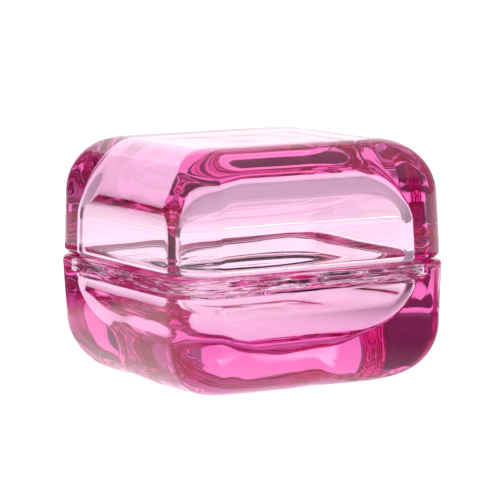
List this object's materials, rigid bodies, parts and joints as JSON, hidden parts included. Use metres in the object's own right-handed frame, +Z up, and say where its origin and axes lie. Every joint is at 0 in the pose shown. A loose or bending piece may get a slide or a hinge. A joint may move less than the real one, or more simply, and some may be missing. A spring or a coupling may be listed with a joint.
{
  "type": "dappen dish",
  "caption": "Square box of thick pressed pink glass: a small deep dish with a loose lid whose lip drops into the dish's rim.",
  "frame": {"origin": "centre of the dish's flat underside", "axes": "+Z up through the lid, X and Y square to the box's sides"},
  "size_m": [0.0606, 0.0606, 0.0483],
  "materials": {
    "pink_glass": "fire-polished pressed glass, clear pink"
  },
  "bodies": {
    "dish": {"dish": "pink_glass"},
    "lid": {"lid": "pink_glass"}
  },
  "joints": [
    {"name": "lid_lift", "type": "slide", "parent": "dish", "child": "lid", "axis": [0, 0, 1], "range_m": [0, 0.04]}
  ]
}
